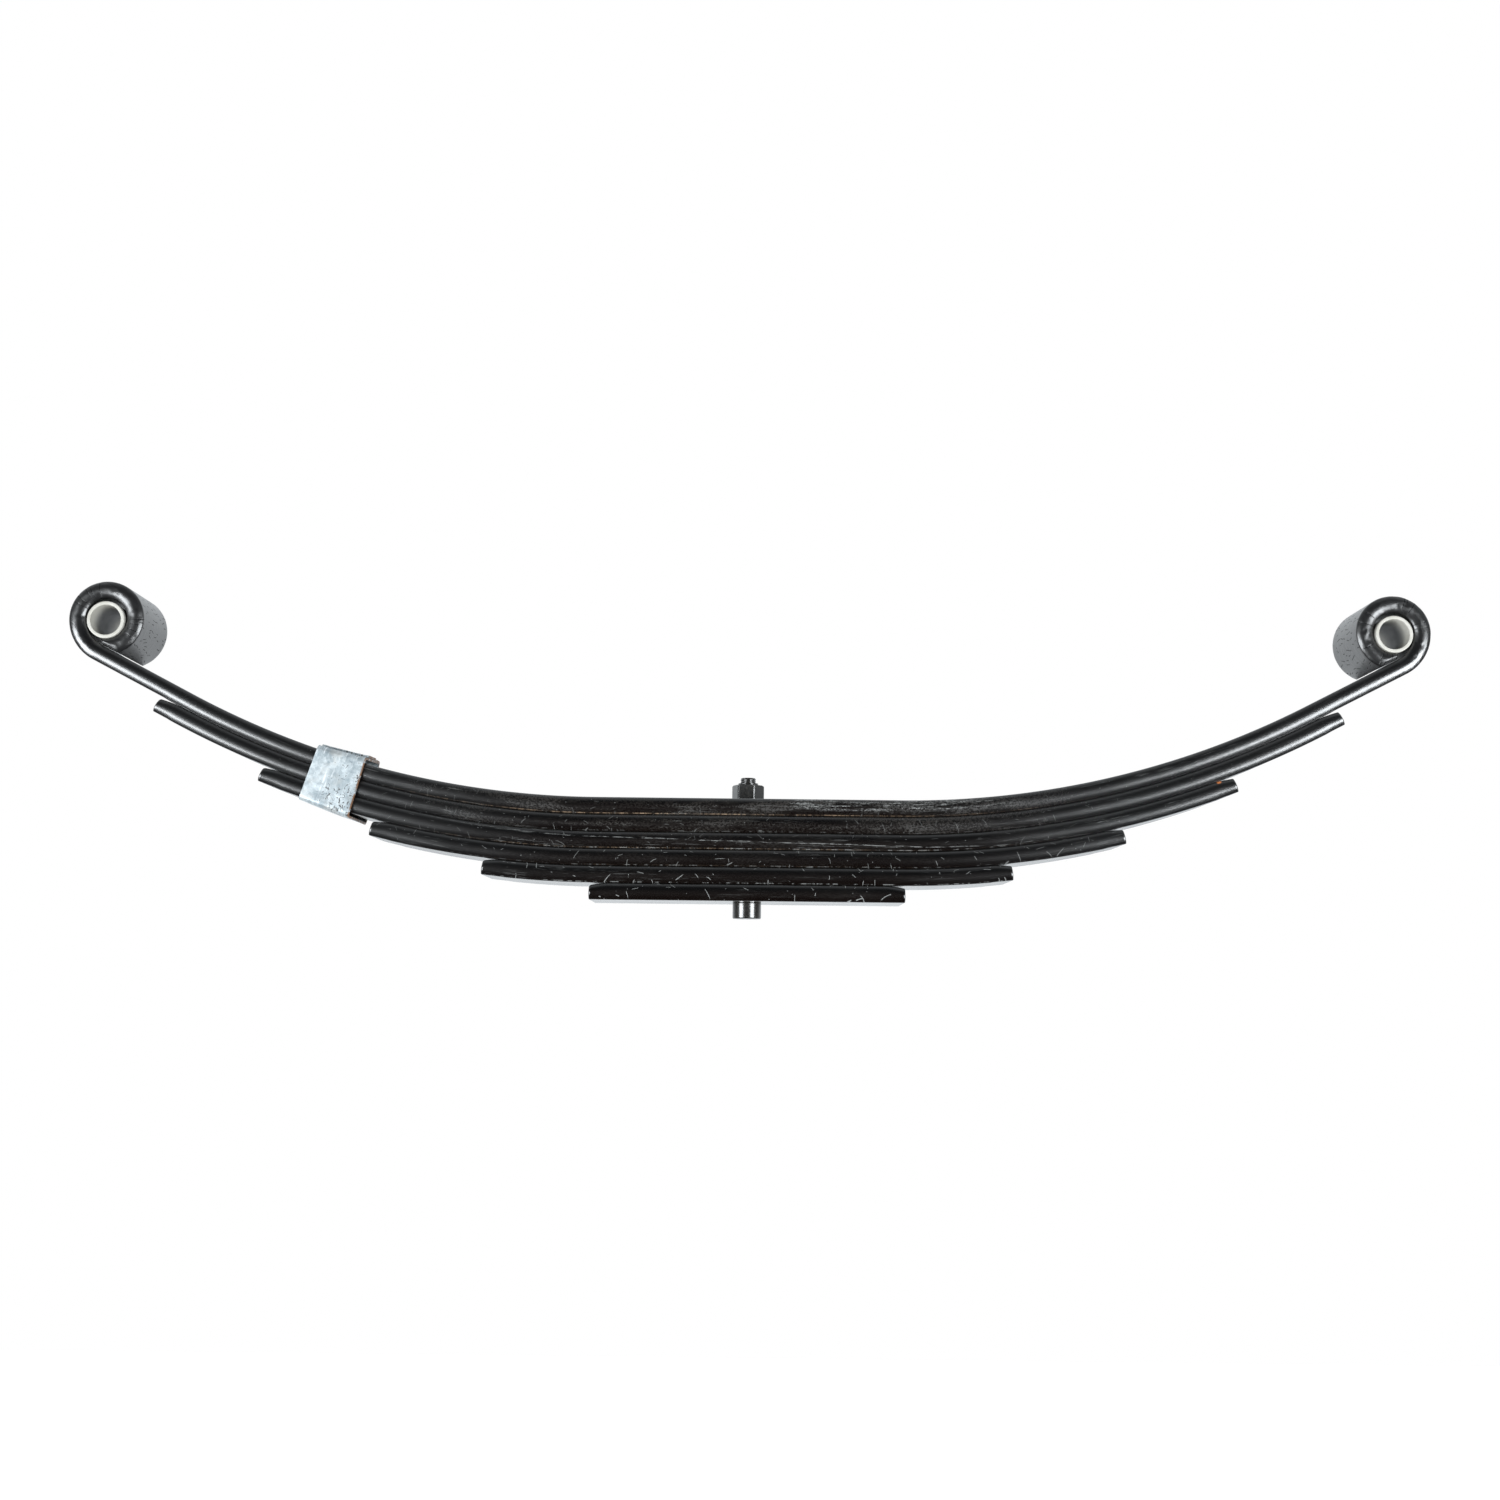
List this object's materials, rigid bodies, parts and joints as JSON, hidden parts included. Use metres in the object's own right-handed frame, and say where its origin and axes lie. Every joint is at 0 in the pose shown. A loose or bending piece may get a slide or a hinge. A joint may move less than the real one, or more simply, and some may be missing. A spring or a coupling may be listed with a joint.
{
  "type": "leaf spring",
  "caption": "Semi-elliptic leaf spring with stepped leaves, a rolled and bushed eye at each end, a centre bolt and a strap clip on one arm.",
  "frame": {"origin": "on the centre bolt's axis, in the plane of the shortest leaf's underside, where the axle's spring seat meets it", "axes": "+X along the spring from the eye with the strap clip on its arm to the other eye, +Y across the leaves' width, +Z from the axle seat up towards the eyes"},
  "size_m": [0.6786, 0.0472, 0.1637],
  "materials": {
    "spring_paint": "gloss black enamel over rolled steel with scale, scuffs and hair scratches",
    "fastener_paint": "gloss black enamel over a forged bolt and nut",
    "clip_zinc": "dull zinc-plated sheet with scratches and dark flecks",
    "bushing_nylon": "off-white nylon, slightly waxy"
  },
  "bodies": {
    "leaf_pack": {"main_leaf": "spring_paint", "second_leaf": "spring_paint", "third_leaf": "spring_paint", "fourth_leaf": "spring_paint", "fifth_leaf": "spring_paint", "sixth_leaf": "spring_paint", "centre_bolt": "fastener_paint", "centre_nut": "fastener_paint", "rebound_clip": "clip_zinc"},
    "left_eye": {"left_bushing": "bushing_nylon"},
    "right_eye": {"right_bushing": "bushing_nylon"}
  },
  "joints": [
    {"name": "left_arm_flex", "type": "hinge", "parent": "leaf_pack", "child": "left_eye", "pos_m": [-0.15, 0, 0.0529], "axis": [0, -1, 0], "range_deg": [-1, 15], "stiffness_Nm_per_rad": 4450, "deforming": ["main_leaf", "second_leaf", "third_leaf", "fourth_leaf", "fifth_leaf", "rebound_clip"]},
    {"name": "right_arm_flex", "type": "hinge", "parent": "leaf_pack", "child": "right_eye", "pos_m": [0.15, 0, 0.0529], "axis": [0, 1, 0], "range_deg": [-1, 15], "stiffness_Nm_per_rad": 4450, "deforming": ["main_leaf", "second_leaf", "third_leaf", "fourth_leaf", "fifth_leaf"]}
  ]
}
